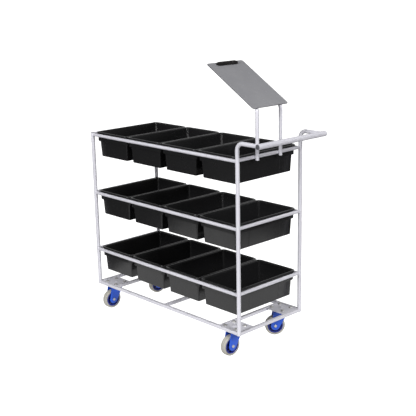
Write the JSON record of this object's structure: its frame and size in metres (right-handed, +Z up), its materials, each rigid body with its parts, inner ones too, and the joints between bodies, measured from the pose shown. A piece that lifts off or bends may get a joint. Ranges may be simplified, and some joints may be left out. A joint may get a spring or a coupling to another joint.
{
  "type": "order picking trolley",
  "caption": "Order picking trolley: a tubular frame on swivel castors with tiers of lift-out tubs, a push bar and a sloping clipboard.",
  "frame": {"origin": "on the floor, under the middle of the bounding box, with the castors as they stand in the picture", "axes": "+X along the trolley towards the push bar, +Y across it from the front side to the rear side, +Z up"},
  "size_m": [1.149, 0.4464, 1.2811],
  "materials": {
    "frame": "silver-grey powder coat, satin",
    "castor_plate": "mid-grey coated steel plate",
    "tub": "black injection-moulded plastic, faint satin sheen",
    "fork": "bright blue gloss paint",
    "hub": "navy blue moulded wheel centre",
    "tyre": "warm light-grey non-marking rubber, matte",
    "bolt": "bright plated bolt",
    "board": "mid-grey board, matte",
    "clip": "black lacquered spring steel"
  },
  "bodies": {
    "frame": {"front_left_post": "frame", "rear_left_post": "frame", "front_right_post": "frame", "rear_right_post": "frame", "push_bar": "frame", "low_front_rail": "frame", "low_rear_rail": "frame", "low_left_rail": "frame", "low_right_rail": "frame", "middle_front_rail": "frame", "middle_rear_rail": "frame", "middle_left_rail": "frame", "middle_right_rail": "frame", "top_front_rail": "frame", "top_rear_rail": "frame", "top_left_rail": "frame", "top_right_rail": "frame", "base_front_rail": "frame", "base_rear_rail": "frame", "base_left_outer_rail": "frame", "base_left_inner_rail": "frame", "base_middle_rail": "frame", "base_right_inner_rail": "frame", "base_right_outer_rail": "frame", "front_left_castor_plate": "castor_plate", "front_right_castor_plate": "castor_plate", "rear_left_castor_plate": "castor_plate", "rear_right_castor_plate": "castor_plate", "clipboard_bracket": "frame", "clipboard_board": "board", "clip_plate": "clip"},
    "front_left_fork": {"front_left_castor_fork": "fork", "front_left_castor_axle": "bolt"},
    "front_left_wheel": {"front_left_castor_hub": "hub", "front_left_castor_tyre": "tyre"},
    "front_right_fork": {"front_right_castor_fork": "fork", "front_right_castor_axle": "bolt"},
    "front_right_wheel": {"front_right_castor_hub": "hub", "front_right_castor_tyre": "tyre"},
    "rear_left_fork": {"rear_left_castor_fork": "fork", "rear_left_castor_axle": "bolt"},
    "rear_left_wheel": {"rear_left_castor_hub": "hub", "rear_left_castor_tyre": "tyre"},
    "rear_right_fork": {"rear_right_castor_fork": "fork", "rear_right_castor_axle": "bolt"},
    "rear_right_wheel": {"rear_right_castor_hub": "hub", "rear_right_castor_tyre": "tyre"},
    "low_tub_1": {"low_tub_1": "tub"},
    "low_tub_2": {"low_tub_2": "tub"},
    "low_tub_3": {"low_tub_3": "tub"},
    "low_tub_4": {"low_tub_4": "tub"},
    "middle_tub_1": {"middle_tub_1": "tub"},
    "middle_tub_2": {"middle_tub_2": "tub"},
    "middle_tub_3": {"middle_tub_3": "tub"},
    "middle_tub_4": {"middle_tub_4": "tub"},
    "top_tub_1": {"top_tub_1": "tub"},
    "top_tub_2": {"top_tub_2": "tub"},
    "top_tub_3": {"top_tub_3": "tub"},
    "top_tub_4": {"top_tub_4": "tub"},
    "clip_lever": {"clip_lever": "clip"}
  },
  "joints": [
    {"name": "front_left_swivel", "type": "hinge", "parent": "frame", "child": "front_left_fork", "pos_m": [-0.4945, -0.14584, 0.04692], "axis": [0, 0, 1], "continuous": true},
    {"name": "front_left_wheel_spin", "type": "hinge", "parent": "front_left_fork", "child": "front_left_wheel", "pos_m": [-0.49659, -0.17577, 0.04692], "axis": [0.9976, -0.0698, 0], "continuous": true},
    {"name": "front_right_swivel", "type": "hinge", "parent": "frame", "child": "front_right_fork", "pos_m": [0.3635, -0.14584, 0.04692], "axis": [0, 0, 1], "continuous": true},
    {"name": "front_right_wheel_spin", "type": "hinge", "parent": "front_right_fork", "child": "front_right_wheel", "pos_m": [0.36141, -0.17577, 0.04692], "axis": [0.9976, -0.0698, 0], "continuous": true},
    {"name": "rear_left_swivel", "type": "hinge", "parent": "frame", "child": "rear_left_fork", "pos_m": [-0.4945, 0.16216, 0.04692], "axis": [0, 0, 1], "continuous": true},
    {"name": "rear_left_wheel_spin", "type": "hinge", "parent": "rear_left_fork", "child": "rear_left_wheel", "pos_m": [-0.49971, 0.13262, 0.04692], "axis": [0.9848, -0.1736, 0], "continuous": true},
    {"name": "rear_right_swivel", "type": "hinge", "parent": "frame", "child": "rear_right_fork", "pos_m": [0.3635, 0.16216, 0.04692], "axis": [0, 0, 1], "continuous": true},
    {"name": "rear_right_wheel_spin", "type": "hinge", "parent": "rear_right_fork", "child": "rear_right_wheel", "pos_m": [0.34503, 0.13852, 0.04692], "axis": [0.788, -0.6157, 0], "continuous": true},
    {"name": "low_tub_1_lift", "type": "slide", "parent": "frame", "child": "low_tub_1", "axis": [0, 0, 1], "range_m": [0, 0.12]},
    {"name": "low_tub_2_lift", "type": "slide", "parent": "frame", "child": "low_tub_2", "axis": [0, 0, 1], "range_m": [0, 0.12]},
    {"name": "low_tub_3_lift", "type": "slide", "parent": "frame", "child": "low_tub_3", "axis": [0, 0, 1], "range_m": [0, 0.12]},
    {"name": "low_tub_4_lift", "type": "slide", "parent": "frame", "child": "low_tub_4", "axis": [0, 0, 1], "range_m": [0, 0.12]},
    {"name": "middle_tub_1_lift", "type": "slide", "parent": "frame", "child": "middle_tub_1", "axis": [0, 0, 1], "range_m": [0, 0.12]},
    {"name": "middle_tub_2_lift", "type": "slide", "parent": "frame", "child": "middle_tub_2", "axis": [0, 0, 1], "range_m": [0, 0.12]},
    {"name": "middle_tub_3_lift", "type": "slide", "parent": "frame", "child": "middle_tub_3", "axis": [0, 0, 1], "range_m": [0, 0.12]},
    {"name": "middle_tub_4_lift", "type": "slide", "parent": "frame", "child": "middle_tub_4", "axis": [0, 0, 1], "range_m": [0, 0.12]},
    {"name": "top_tub_1_lift", "type": "slide", "parent": "frame", "child": "top_tub_1", "axis": [0, 0, 1], "range_m": [0, 0.12]},
    {"name": "top_tub_2_lift", "type": "slide", "parent": "frame", "child": "top_tub_2", "axis": [0, 0, 1], "range_m": [0, 0.12]},
    {"name": "top_tub_3_lift", "type": "slide", "parent": "frame", "child": "top_tub_3", "axis": [0, 0, 1], "range_m": [0, 0.12]},
    {"name": "top_tub_4_lift", "type": "slide", "parent": "frame", "child": "top_tub_4", "axis": [0, 0, 1], "range_m": [0, 0.12]},
    {"name": "clip_open", "type": "hinge", "parent": "frame", "child": "clip_lever", "pos_m": [0.20377, -0.01484, 1.27295], "axis": [0, -1, 0], "range_deg": [0, 35], "stiffness_Nm_per_rad": 0.08, "springref_deg": -11.46}
  ]
}
